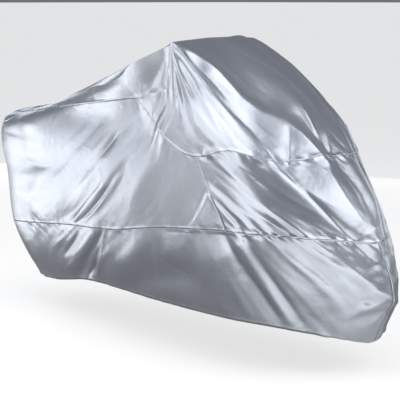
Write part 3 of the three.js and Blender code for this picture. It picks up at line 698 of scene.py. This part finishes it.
def sewn_heights(grid, heights, run, creases):
    """How far wrinkles, puckers, welts and the rolled hem lift every point below the top."""
    places = np.tile(grid.places, len(grid.levels))
    girth = grid.girth
    away = {level: (run - run[grid.row[level]]).ravel() for level in ("hem", "belt", "seam")}
    lift = np.zeros(len(places))
    for seed, row in enumerate(named_rows(WRINKLE_COLUMNS, WRINKLES)):
        lift += creases * wrinkle_lift(places, heights, girth, row, seed)
        middle = (girth - row["middle"][0], row["middle"][1])
        left = {**row, "middle": middle, "run": (-row["run"][0], row["run"][1])}
        lift += creases * wrinkle_lift(places, heights, girth, left, seed + LEFT_SEED)
    for seed, row in enumerate(named_rows(PUCKER_COLUMNS, PUCKERS)):
        lift += pucker_lift(places, away[row["level"]], girth, row, seed + PUCKER_SEED)
    for level in ("belt", "seam"):
        lift += WELT_HEIGHT * np.exp(-(((away[level] - WELT_WIDTH) / WELT_WIDTH) ** 2))
        lift -= GROOVE_DEPTH * np.exp(-((away[level] / GROOVE_WIDTH) ** 2))
    lift += HEM_ROLL * np.exp(-(((away["hem"] - HEM_STITCH / 2) / (HEM_STITCH / 3)) ** 2))
    return lift - HEM_CURL * np.clip(1.0 - away["hem"] / HEM_STITCH, 0.0, 1.0) ** 2


def edge_weights(grid, size):
    """How freely each point near the crown's edge may move as that edge is rounded off."""
    moving = np.zeros(size)
    for back in range(RIDGE_ROWS):
        weight = 1.0 - back / RIDGE_ROWS
        moving[grid.ring(grid.row["crown"] - back, np.arange(grid.count))] = weight
        inner = grid.top[back : ALONG + 1 - back, back : ACROSS + 1 - back]
        edge = np.concatenate((inner[0], inner[-1], inner[:, 0], inner[:, -1]))
        moving[edge] = np.maximum(moving[edge], weight)
    return moving


def bend_of(points, normals, mean, width):
    """How far each point stands above its surroundings, from -1 in a valley to 1 on a ridge."""
    return np.clip(np.sum((points - mean) * normals, axis=1) / width, -1.0, 1.0)


@functools.lru_cache(maxsize=1)
def draped_cloth(turn, swing, dip, folds, creases):
    """The whole cloth with its folds, worked out once and then cut into panels."""
    drape = Drape(turn, swing)
    grid = ClothGrid(drape.falls)
    rows = len(grid.levels)
    ring = drape.at(np.tile(grid.places, rows), np.repeat(grid.levels, grid.count))
    smooth = np.concatenate((ring, top_patch(grid, ring, dip)))
    panels = grid.panels()
    quads = np.concatenate(list(panels.values()))
    normals = mesh_normals(smooth, quads)

    steps = np.linalg.norm(np.diff(ring.reshape(rows, grid.count, 3), axis=0), axis=2)
    run = np.concatenate((np.zeros((1, grid.count)), np.cumsum(steps, axis=0)))
    lift = fold_heights(drape, smooth, normals, folds, creases)
    lift[: len(ring)] += sewn_heights(grid, ring[:, 2], run, creases)

    points = smooth + normals * lift[:, None]
    points = evened(points, quads, edge_weights(grid, len(points)), RIDGE_PASSES)
    for peak in (grid.peak, grid.left_peak):
        away = np.linalg.norm(points - points[grid.ring(grid.row["crown"], peak)], axis=1)
        points = evened(points, quads, np.exp(-((away / PEAK_REACH) ** 2)), PEAK_PASSES)
    mean = evened(points, quads, np.ones(len(points)), BEND_PASSES)
    normals = mesh_normals(points, quads)
    flat = points[:, :2] * MM
    flat[: len(ring)] = np.stack((np.tile(grid.places, rows), run.ravel()), axis=1) * MM
    return Cloth(drape, grid, panels, points, normals, run, flat, bend_of(points, normals, mean, BEND_FULL))


def cloth_of(scene):
    """The cloth as the settings of the scene have it."""
    drape = scene.cover_drape
    return draped_cloth(drape.turn, drape.swing / MM, drape.dip / MM, drape.folds, drape.creases)


# Panels

def panel_border(quads):
    """The edges of a panel, each with the panel's cloth on its left."""
    edges = np.concatenate([quads[:, [i, (i + 1) % 4]] for i in range(4)])
    size = int(edges.max()) + 1
    forward = edges[:, 0] * size + edges[:, 1]
    backward = edges[:, 1] * size + edges[:, 0]
    return edges[~np.isin(forward, backward)]


def drawn_back(points, normals, border, gap):
    """Draws the edge of a panel back by half a seam gap, square to the edge."""
    into = np.zeros_like(points)
    meeting = {}
    for a, b in border:
        along = points[b] - points[a]
        for corner in (a, b):
            meeting.setdefault(corner, []).append(np.cross(normals[corner], along))
    for corner, pair in meeting.items():
        first, second = unit(np.array(pair))
        into[corner] = (first + second) / (1.0 + first @ second)
    return points + into * gap / 2


def panel_mesh(name, node, scene):
    """A closed sheet: the outer skin, the inner skin one thickness below, and the cut edge between them."""
    settings = scene.cover_cloth
    cloth = cloth_of(scene)
    quads = cloth.panels[node]
    border = panel_border(quads)
    outer = drawn_back(cloth.points, cloth.normals, border, settings.seam_gap / MM)
    used, numbers = np.unique(quads, return_inverse=True)
    numbers = numbers.reshape(-1, 4)
    count = len(used)
    skin = (outer[used] - REST) * MM
    lining = skin - cloth.normals[used] * settings.thickness
    order = np.full(len(cloth.points), -1)
    order[used] = np.arange(count)
    a, b = order[border[:, 0]], order[border[:, 1]]
    rim = np.stack((a, a + count, b + count, b), axis=1)
    faces = np.concatenate((numbers, numbers[:, ::-1] + count, rim))

    mesh = bpy.data.meshes.new(name)
    mesh.vertices.add(2 * count)
    mesh.vertices.foreach_set("co", np.concatenate((skin, lining)).ravel())
    mesh.loops.add(faces.size)
    mesh.loops.foreach_set("vertex_index", faces.ravel())
    mesh.polygons.add(len(faces))
    mesh.polygons.foreach_set("loop_start", np.arange(0, faces.size, 4))
    smooth = np.ones(len(faces), bool)
    smooth[2 * len(quads) :] = False
    mesh.polygons.foreach_set("use_smooth", smooth)
    mesh.update(calc_edges=True)
    if mesh.validate():
        raise RuntimeError(f"{name} has faults in its mesh")

    flat = cloth.flat[used]
    uv = mesh.uv_layers.new(name="cloth")
    uv.data.foreach_set("uv", np.concatenate((flat, flat))[faces.ravel()].ravel())
    # The bend paints shade into the cloth's colour: darker in the valleys, lighter on the ridges
    bend = mesh.attributes.new("bend", "FLOAT", "POINT")
    bend.data.foreach_set("value", np.concatenate((cloth.bend[used], -cloth.bend[used])))
    return mesh


def make_piece(name, node, scene, sewing):
    """One panel with its stitches."""
    mesh = panel_mesh(name, node, scene)
    mesh.materials.append(silver_cloth(name, scene.cover_cloth))
    piece = bpy.data.objects.new(name, mesh)
    scene.collection.objects.link(piece)
    stitches = stitch_rows(f"{name}_stitches", scene, sewing)
    for made in (piece, stitches):
        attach(made, "root")
    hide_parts(node)


# Sewing

def seam_line(cloth, level, offset, first, last):
    """Places and levels of a row of stitches beside a seam, from one mesh column to another."""
    grid = cloth.grid
    row = grid.row[level]
    columns = np.arange(first, last + 1)
    places = grid.places[columns % grid.count] + grid.girth * (columns // grid.count)
    runs = cloth.run[:, columns % grid.count]
    levels = [np.interp(run[row] + offset, run, grid.levels) for run in runs.T]
    return places, np.array(levels)


def upright_line(place, low, high):
    """Places and levels of a row of stitches that runs up the cloth, from one named level to another."""
    start, end = LEVELS.index(low) + UPRIGHT_END, LEVELS.index(high) - UPRIGHT_END
    levels = np.linspace(start, end, LINE_STEPS)
    return np.full(len(levels), place), levels


def dart_line(cloth, offset):
    """Places and levels of a row of stitches along the dart behind the right peak."""
    dart = np.array(DART, float)
    places = np.linspace(dart[0, 0], dart[-1, 0], LINE_STEPS)
    heights = np.interp(places, dart[:, 0], dart[:, 1]) + offset
    return places, cloth.drape.levels_at(places, heights)


def on_draped(cloth, places, levels):
    """Points on the finished cloth, with the cloth's own direction there."""
    grid = cloth.grid
    row = np.interp(levels, grid.levels, np.arange(len(grid.levels)))
    loop = np.append(grid.places, grid.girth)
    column = np.interp(np.mod(places, grid.girth), loop, np.arange(len(loop)))
    r, c = np.minimum(row.astype(int), len(grid.levels) - 2), column.astype(int)
    up, on = (row - r)[:, None], (column - c)[:, None]

    def blended(values):
        low = values[grid.ring(r, c)] * (1 - on) + values[grid.ring(r, c + 1)] * on
        high = values[grid.ring(r + 1, c)] * (1 - on) + values[grid.ring(r + 1, c + 1)] * on
        return low * (1 - up) + high * up

    return blended(cloth.points), unit(blended(cloth.normals))


def stitch_tree():
    """Geometry nodes that lay stitches end to end along a line."""
    tree = bpy.data.node_groups.new("stitch row", "GeometryNodeTree")
    tree.interface.new_socket("Line", in_out="INPUT", socket_type="NodeSocketGeometry")
    for name in ("Pitch", "Length", "Thread"):
        tree.interface.new_socket(name, in_out="INPUT", socket_type="NodeSocketFloat")
    tree.interface.new_socket("Material", in_out="INPUT", socket_type="NodeSocketMaterial")
    tree.interface.new_socket("Stitches", in_out="OUTPUT", socket_type="NodeSocketGeometry")
    nodes = tree.nodes
    into, out = nodes.new("NodeGroupInput"), nodes.new("NodeGroupOutput")
    curve = nodes.new("GeometryNodeMeshToCurve")
    spaced = nodes.new("GeometryNodeResampleCurve")
    spaced.mode = "LENGTH"
    bead = nodes.new("GeometryNodeMeshIcoSphere")
    bead.inputs["Subdivisions"].default_value = 1
    bead.inputs["Radius"].default_value = BEAD_RADIUS
    tangent = nodes.new("GeometryNodeInputTangent")
    aligned = nodes.new("FunctionNodeAlignRotationToVector")
    aligned.axis = "X"
    size = nodes.new("ShaderNodeCombineXYZ")
    laid = nodes.new("GeometryNodeInstanceOnPoints")
    real = nodes.new("GeometryNodeRealizeInstances")
    finish = nodes.new("GeometryNodeSetMaterial")
    wires = (
        (into, "Line", curve, "Mesh"),
        (curve, "Curve", spaced, "Curve"),
        (into, "Pitch", spaced, "Length"),
        (spaced, "Curve", laid, "Points"),
        (bead, "Mesh", laid, "Instance"),
        (tangent, "Tangent", aligned, "Vector"),
        (aligned, "Rotation", laid, "Rotation"),
        (into, "Length", size, "X"),
        (into, "Thread", size, "Y"),
        (into, "Thread", size, "Z"),
        (size, "Vector", laid, "Scale"),
        (laid, "Instances", real, "Geometry"),
        (real, "Geometry", finish, "Geometry"),
        (into, "Material", finish, "Material"),
        (finish, "Geometry", out, "Stitches"),
    )
    for start, leaving, end, entering in wires:
        tree.links.new(start.outputs[leaving], end.inputs[entering])
    return tree


def stitch_rows(name, scene, rows):
    """The stitches of one panel, as a plain mesh."""
    sewing = scene.cover_sewing
    cloth = cloth_of(scene)
    points, edges = [], []
    for places, levels in rows:
        spots, normals = on_draped(cloth, places, levels)
        start = sum(len(line) for line in points)
        points.append((spots - REST) * MM + normals * sewing.thread * STITCH_PROUD)
        edges += [(start + i, start + i + 1) for i in range(len(spots) - 1)]
    lines = bpy.data.meshes.new(name)
    lines.from_pydata(np.concatenate(points).tolist(), edges, [])
    piece = bpy.data.objects.new(name, lines)
    scene.collection.objects.link(piece)

    tree = bpy.data.node_groups.get("stitch row") or stitch_tree()
    modifier = piece.modifiers.new("stitches", "NODES")
    modifier.node_group = tree
    values = {
        "Pitch": sewing.pitch,
        "Length": sewing.length,
        "Thread": sewing.thread,
        "Material": bpy.data.materials.get("seam thread") or seam_thread(sewing),
    }
    for socket in tree.interface.items_tree:
        if socket.in_out == "INPUT" and socket.name in values:
            modifier[socket.identifier] = values[socket.name]
    evaluated = piece.evaluated_get(bpy.context.evaluated_depsgraph_get())
    stitches = bpy.data.meshes.new_from_object(evaluated)
    piece.modifiers.clear()
    piece.data = stitches
    if not stitches.polygons:
        raise RuntimeError(f"{name} has no stitches")
    return piece


# Finishes

def new_group(name, inputs, output):
    """An empty shader group with its sockets, and its two end nodes."""
    group = bpy.data.node_groups.new(name, "ShaderNodeTree")
    for socket, kind, default in inputs:
        made = group.interface.new_socket(socket, in_out="INPUT", socket_type=kind)
        if default is not None:
            made.default_value = default
    group.interface.new_socket(output, in_out="OUTPUT", socket_type="NodeSocketFloat")
    return group, group.nodes.new("NodeGroupInput"), group.nodes.new("NodeGroupOutput")


def feed(tree, socket, value):
    """Links an input to another node's output, or gives it a plain value."""
    if isinstance(value, bpy.types.NodeSocket):
        tree.links.new(value, socket)
    else:
        socket.default_value = value


def math_node(tree, operation, *values):
    node = tree.nodes.new("ShaderNodeMath")
    node.operation = operation
    for socket, value in zip(node.inputs, values):
        feed(tree, socket, value)
    return node.outputs[0]


def noise_node(tree, vector, scale, detail, distortion=0.0):
    node = tree.nodes.new("ShaderNodeTexNoise")
    node.inputs["Detail"].default_value = detail
    node.inputs["Distortion"].default_value = distortion
    feed(tree, node.inputs["Scale"], scale)
    feed(tree, node.inputs["Vector"], vector)
    return node.outputs["Fac"]


def mixed_colour(tree, factor, first, second):
    """The first colour where the factor is 0, and the second where it is 1."""
    node = tree.nodes.new("ShaderNodeMix")
    node.data_type = "RGBA"
    sockets = [socket for socket in node.inputs if socket.type == "RGBA"]
    for socket, colour in zip(sockets, (first, second)):
        socket.default_value = (*colour, 1.0)
    tree.links.new(factor, node.inputs["Factor"])
    return next(socket for socket in node.outputs if socket.type == "RGBA")


def bump_node(tree, height, strength, depth, below=None):
    """A relief from a height, laid over another one where there is one below."""
    node = tree.nodes.new("ShaderNodeBump")
    feed(tree, node.inputs["Height"], height)
    feed(tree, node.inputs["Strength"], strength)
    feed(tree, node.inputs["Distance"], depth)
    if below is not None:
        feed(tree, node.inputs["Normal"], below)
    return node.outputs["Normal"]


def crinkle_group():
    """Sharp little creases of two sizes, as in stiff coated cloth that has been packed away."""
    inputs = [("Vector", "NodeSocketVector", None)]
    inputs += [(size, "NodeSocketFloat", scale) for size, scale in CRINKLE_SCALES.items()]
    group, into, out = new_group("cloth crinkle", inputs, "Height")
    heights = []
    for size in CRINKLE_SCALES:
        scale = into.outputs[size]
        noise = noise_node(group, into.outputs["Vector"], scale, CRINKLE_DETAIL, CRINKLE_DISTORTION)
        heights.append(math_node(group, "ABSOLUTE", math_node(group, "SUBTRACT", noise, 0.5)))
    coarse, fine = heights
    group.links.new(math_node(group, "MULTIPLY_ADD", fine, FINE_CRINKLE, coarse), out.inputs["Height"])
    return group


def weave_group():
    """The plain weave of fine threads, over and under."""
    inputs = (("Vector", "NodeSocketVector", None), ("Threads", "NodeSocketFloat", WEAVE_THREADS))
    group, into, out = new_group("plain weave", inputs, "Height")
    split = group.nodes.new("ShaderNodeSeparateXYZ")
    group.links.new(into.outputs["Vector"], split.inputs[0])
    waves = []
    for axis in ("X", "Y"):
        turns = math_node(group, "MULTIPLY", split.outputs[axis], into.outputs["Threads"])
        waves.append(math_node(group, "SINE", math_node(group, "MULTIPLY", turns, math.pi)))
    group.links.new(math_node(group, "MULTIPLY", *waves), out.inputs["Height"])
    return group


def place_group(tree, name, build):
    """Places a group in a material, and builds it the first time."""
    node = tree.nodes.new("ShaderNodeGroup")
    node.node_tree = bpy.data.node_groups.get(name) or build()
    return node


def silver_cloth(name, cloth):
    """Silver coating on thin woven cloth: satin, a little blue, creased and unevenly toned, with painted
    shade in its valleys and lighter ridges.
    """
    material = bpy.data.materials.new(f"silver {name}")
    material.use_nodes = True
    tree = material.node_tree
    nodes, links = tree.nodes, tree.links
    shader = nodes["Principled BSDF"]
    shader.inputs["Metallic"].default_value = cloth.metal
    place = nodes.new("ShaderNodeTexCoord")
    crinkle = place_group(tree, "cloth crinkle", crinkle_group)
    links.new(place.outputs["Object"], crinkle.inputs["Vector"])
    weave = place_group(tree, "plain weave", weave_group)
    links.new(place.outputs["UV"], weave.inputs["Vector"])

    patches = noise_node(tree, place.outputs["Object"], PATCH_SCALE, PATCH_DETAIL)
    # The bend paints shade into the valleys and lightens the ridges, over random patches of tone
    bend = nodes.new("ShaderNodeAttribute")
    bend.attribute_name = "bend"
    tone_and_painted_shade = math_node(tree, "MULTIPLY_ADD", bend.outputs["Fac"], PAINTED_CREASE_SHADE, patches)
    tone_and_painted_shade.node.use_clamp = True
    colour = mixed_colour(tree, tone_and_painted_shade, cloth.colour_dark, cloth.colour_light)
    links.new(colour, shader.inputs["Base Color"])
    rough = math_node(tree, "MULTIPLY_ADD", patches, ROUGH_RANGE, cloth.roughness - ROUGH_RANGE / 2)
    links.new(rough, shader.inputs["Roughness"])

    creased = bump_node(tree, crinkle.outputs["Height"], cloth.crinkle, CRINKLE_DEPTH)
    woven = bump_node(tree, weave.outputs["Height"], WEAVE_STRENGTH, WEAVE_DEPTH, creased)
    links.new(woven, shader.inputs["Normal"])
    return material


def seam_thread(sewing):
    """Grey sewing thread."""
    material = bpy.data.materials.new("seam thread")
    material.use_nodes = True
    shader = material.node_tree.nodes["Principled BSDF"]
    shader.inputs["Base Color"].default_value = (*sewing.colour, 1.0)
    shader.inputs["Roughness"].default_value = THREAD_ROUGHNESS
    return material


# Studio

def ranged(tree, value, start, full, from_value, to_value):
    """A smooth change from one value to another as the input goes from its start to where it is full."""
    node = tree.nodes.new("ShaderNodeMapRange")
    node.interpolation_type = "SMOOTHSTEP"
    settings = {"From Min": start, "From Max": full, "To Min": from_value, "To Max": to_value}
    for socket, setting in settings.items():
        node.inputs[socket].default_value = setting
    tree.links.new(value, node.inputs["Value"])
    return node.outputs["Result"]


def floor_brightness(tree, ground):
    """How bright the floor is in what the cloth mirrors, painted as a glow: lighter to the rear, with
    painted pools of light.
    """
    nodes, links = tree.nodes, tree.links
    place = nodes.new("ShaderNodeTexCoord").outputs["Object"]
    split = nodes.new("ShaderNodeSeparateXYZ")
    links.new(place, split.inputs[0])
    (rear, rear_brightness), (fore, fore_brightness) = FLOOR_REAR, FLOOR_FORE
    total = ranged(tree, split.outputs["X"], rear, fore, rear_brightness, fore_brightness)
    for pool in named_rows(POOL_COLUMNS, POOLS):
        away = nodes.new("ShaderNodeVectorMath")
        away.operation = "DISTANCE"
        away.inputs[1].default_value = (*pool["middle"], ground)
        links.new(place, away.inputs[0])
        lit = ranged(tree, away.outputs["Value"], pool["full"], pool["end"], pool["brightness"], 0.0)
        total = math_node(tree, "ADD", total, lit)
    return total


def add_floor(scene):
    """A large pale floor, plain white to look at and shaded in what the cloth mirrors."""
    half, ground = FLOOR_HALF, scene.cover_stage.ground
    mesh = bpy.data.meshes.new("floor")
    corners = [(x * half, y * half, ground) for x, y in ((-1, -1), (1, -1), (1, 1), (-1, 1))]
    mesh.from_pydata(corners, [], [(0, 1, 2, 3)])
    material = bpy.data.materials.new("pale floor")
    material.use_nodes = True
    tree = material.node_tree
    shader = tree.nodes["Principled BSDF"]
    shader.inputs["Roughness"].default_value = 1.0
    shader.inputs["Specular IOR Level"].default_value = 0.0
    shader.inputs["Emission Color"].default_value = (1.0, 1.0, 1.0, 1.0)
    # In what the cloth mirrors the floor is a dark colour with painted light on it: a glow with pools
    seen = tree.nodes.new("ShaderNodeLightPath").outputs["Is Camera Ray"]
    tree.links.new(mixed_colour(tree, seen, FLOOR_MIRRORED, FLOOR_COLOUR), shader.inputs["Base Color"])
    glow = tree.nodes.new("ShaderNodeMix")
    tree.links.new(seen, glow.inputs["Factor"])
    tree.links.new(floor_brightness(tree, ground), glow.inputs["A"])
    glow.inputs["B"].default_value = FLOOR_GLOW
    tree.links.new(glow.outputs["Result"], shader.inputs["Emission Strength"])
    mesh.materials.append(material)
    floor = bpy.data.objects.new("floor", mesh)
    scene.collection.objects.link(floor)


def add_softbox(scene, row):
    """A large soft light that faces its aim."""
    light = bpy.data.lights.new(row["name"], "AREA")
    light.shape = "RECTANGLE"
    light.size, light.size_y = row["width"], row["height"]
    light.energy = row["radiance"] * math.pi * row["width"] * row["height"]
    holder = bpy.data.objects.new(row["name"], light)
    holder.location = row["place"]
    holder.rotation_euler = (Vector(row["aim"]) - Vector(row["place"])).to_track_quat("-Z", "Y").to_euler()
    holder.visible_camera = False
    scene.collection.objects.link(holder)


def add_world(scene):
    """The dim room round the floor and the lights."""
    world = bpy.data.worlds.new("studio")
    world.use_nodes = True
    world.node_tree.nodes["Background"].inputs["Color"].default_value = (*WORLD_COLOUR, 1.0)
    scene.world = world
    scene.view_settings.view_transform = "Standard"


def add_camera(scene):
    """The camera, at the height and turn of an onlooker a few steps away."""
    stage = scene.cover_stage
    camera = bpy.data.cameras.new("camera")
    camera.lens = stage.lens
    holder = bpy.data.objects.new("camera", camera)
    holder.location = stage.camera_place
    holder.rotation_euler = (math.pi / 2 - stage.pitch, 0.0, stage.azimuth)
    scene.collection.objects.link(holder)
    scene.camera = holder


# Settings

class CoverDrape(bpy.types.PropertyGroup):
    """How the cover hangs."""

    turn: FloatProperty(
        name="Turn", description="How far the two peaks are turned to the left",
        default=math.radians(23.0), subtype="ANGLE",
    )
    swing: FloatProperty(
        name="Nose swing", description="How far the low part of the nose hangs to the left",
        default=0.09, unit="LENGTH",
    )
    dip: FloatProperty(
        name="Saddle dip", description="Sag of the top between its two long edges",
        default=0.111, unit="LENGTH",
    )
    folds: FloatProperty(
        name="Folds", description="Share of the main folds' height",
        default=1.0, min=0.0,
    )
    creases: FloatProperty(
        name="Creases", description="Share of the small creases' height",
        default=1.0, min=0.0,
    )


class CoverCloth(bpy.types.PropertyGroup):
    """What the cover is made of."""

    thickness: FloatProperty(
        name="Thickness", description="Thickness of the cloth with its coating",
        default=0.0012, unit="LENGTH",
    )
    seam_gap: FloatProperty(
        name="Seam gap", description="Between the edges of two panels that are sewn together",
        default=0.0003, unit="LENGTH",
    )
    # The two silvers are mixed by random patches of tone and by painted shade: darker in the cloth's
    # valleys, lighter on its ridges
    colour_light: FloatVectorProperty(
        name="Light silver", description="Colour of the coating where it is fresh",
        default=(0.70, 0.74, 0.82), subtype="COLOR", size=3, min=0.0, max=1.0,
    )
    colour_dark: FloatVectorProperty(
        name="Dark silver", description="Colour of the coating where it is dull",
        default=(0.58, 0.615, 0.69), subtype="COLOR", size=3, min=0.0, max=1.0,
    )
    metal: FloatProperty(
        name="Metal", description="How metallic the coating looks",
        default=0.92, min=0.0, max=1.0,
    )
    roughness: FloatProperty(
        name="Roughness", description="How soft the shine of the coating is",
        default=0.32, min=0.0, max=1.0,
    )
    crinkle: FloatProperty(
        name="Crinkle", description="Strength of the finest creases",
        default=0.25, min=0.0,
    )


class CoverSewing(bpy.types.PropertyGroup):
    """The stitches."""

    pitch: FloatProperty(
        name="Pitch", description="From one stitch to the next",
        default=0.005, unit="LENGTH",
    )
    length: FloatProperty(
        name="Length", description="Length of a stitch",
        default=0.0036, unit="LENGTH",
    )
    thread: FloatProperty(
        name="Thread", description="Thickness of the thread",
        default=0.0009, unit="LENGTH",
    )
    colour: FloatVectorProperty(
        name="Thread colour", description="Colour of the thread",
        default=(0.42, 0.43, 0.45), subtype="COLOR", size=3, min=0.0, max=1.0,
    )


class CoverStage(bpy.types.PropertyGroup):
    """The studio."""

    ground: FloatProperty(
        name="Ground", description="Height of the floor",
        default=-REST[2] * MM, unit="LENGTH",
    )
    lens: FloatProperty(
        name="Lens", description="Focal length of the camera in millimetres",
        default=117.0,
    )
    azimuth: FloatProperty(
        name="Azimuth", description="How far the camera is turned about the upright",
        default=math.radians(45.98), subtype="ANGLE",
    )
    pitch: FloatProperty(
        name="Pitch", description="How far the camera looks down",
        default=math.radians(8.75), subtype="ANGLE",
    )
    camera_place: FloatVectorProperty(
        name="Camera", description="Place of the camera",
        default=(4.5412, -3.9036, 0.4427), subtype="TRANSLATION",
    )


# Pieces

class COVER_OT_crown(bpy.types.Operator):
    """Make the crown panel, from the tail over both peaks and down the front"""

    bl_idname = "cover.crown"
    bl_label = "Crown panel"

    def execute(self, context):
        cloth = cloth_of(context.scene)
        rows = [seam_line(cloth, "seam", STITCH_OFFSET, 0, cloth.grid.count)]
        rows += [dart_line(cloth, offset) for offset in DART_ROWS]
        make_piece("crown_cloth", "crown_panel", context.scene, rows)
        return {"FINISHED"}


class COVER_OT_sides(bpy.types.Operator):
    """Make the two side panels"""

    bl_idname = "cover.sides"
    bl_label = "Side panels"

    def execute(self, context):
        cloth = cloth_of(context.scene)
        grid = cloth.grid
        halves = (
            ("right", 0, grid.peak, grid.places[grid.peak] - STITCH_OFFSET),
            ("left", grid.left_peak, grid.count, grid.places[grid.left_peak] + STITCH_OFFSET),
        )
        for side, first, last, upright in halves:
            rows = [seam_line(cloth, "belt", STITCH_OFFSET, first, last)]
            rows.append(upright_line(upright, "belt", "seam"))
            make_piece(f"side_cloth_{side}", f"side_panel_{side}", context.scene, rows)
        return {"FINISHED"}


class COVER_OT_front(bpy.types.Operator):
    """Make the front panel, below the crown's front seam"""

    bl_idname = "cover.front"
    bl_label = "Front panel"

    def execute(self, context):
        cloth = cloth_of(context.scene)
        rows = [seam_line(cloth, "belt", STITCH_OFFSET, cloth.grid.peak, cloth.grid.left_peak)]
        make_piece("front_cloth", "front_panel", context.scene, rows)
        return {"FINISHED"}


class COVER_OT_skirts(bpy.types.Operator):
    """Make the two skirts, with their drawn-in hem"""

    bl_idname = "cover.skirts"
    bl_label = "Skirts"

    def execute(self, context):
        cloth = cloth_of(context.scene)
        grid = cloth.grid
        nose = grid.places[grid.nose]
        halves = (
            ("right", 0, grid.nose, nose - STITCH_OFFSET),
            ("left", grid.nose, grid.count, nose + STITCH_OFFSET),
        )
        for side, first, last, upright in halves:
            rows = [seam_line(cloth, "hem", HEM_STITCH, first, last)]
            rows.append(upright_line(upright, "hem", "belt"))
            make_piece(f"skirt_cloth_{side}", f"skirt_{side}", context.scene, rows)
        return {"FINISHED"}


class COVER_OT_stage(bpy.types.Operator):
    """Make the floor, the lights and the camera"""

    bl_idname = "cover.stage"
    bl_label = "Studio"

    def execute(self, context):
        scene = context.scene
        add_floor(scene)
        for row in named_rows(LIGHT_COLUMNS, LIGHTS):
            add_softbox(scene, row)
        add_world(scene)
        add_camera(scene)
        return {"FINISHED"}


class COVER_PT_cover(bpy.types.Panel):
    """Lists the settings and the pieces"""

    bl_idname = "COVER_PT_cover"
    bl_label = "Motorcycle Cover"
    bl_space_type = "VIEW_3D"
    bl_region_type = "UI"
    bl_category = "Cover"

    def draw(self, context):
        for settings in SETTINGS:
            box = self.layout.box()
            group = getattr(context.scene, settings)
            for name in group.__annotations__:
                box.prop(group, name)
        for operator in OPERATORS:
            self.layout.operator(operator.bl_idname)


SETTINGS = {
    "cover_drape": CoverDrape,
    "cover_cloth": CoverCloth,
    "cover_sewing": CoverSewing,
    "cover_stage": CoverStage,
}
OPERATORS = (COVER_OT_crown, COVER_OT_sides, COVER_OT_front, COVER_OT_skirts, COVER_OT_stage)
CLASSES = (*SETTINGS.values(), *OPERATORS, COVER_PT_cover)


def register():
    for cls in CLASSES:
        bpy.utils.register_class(cls)
    for name, group in SETTINGS.items():
        setattr(bpy.types.Scene, name, PointerProperty(type=group))


def unregister():
    for name in SETTINGS:
        delattr(bpy.types.Scene, name)
    for cls in reversed(CLASSES):
        bpy.utils.unregister_class(cls)


def main():
    register()
    bpy.ops.cover.crown()
    bpy.ops.cover.sides()
    bpy.ops.cover.front()
    bpy.ops.cover.skirts()
    bpy.ops.cover.stage()


if __name__ == "__main__":
    main()
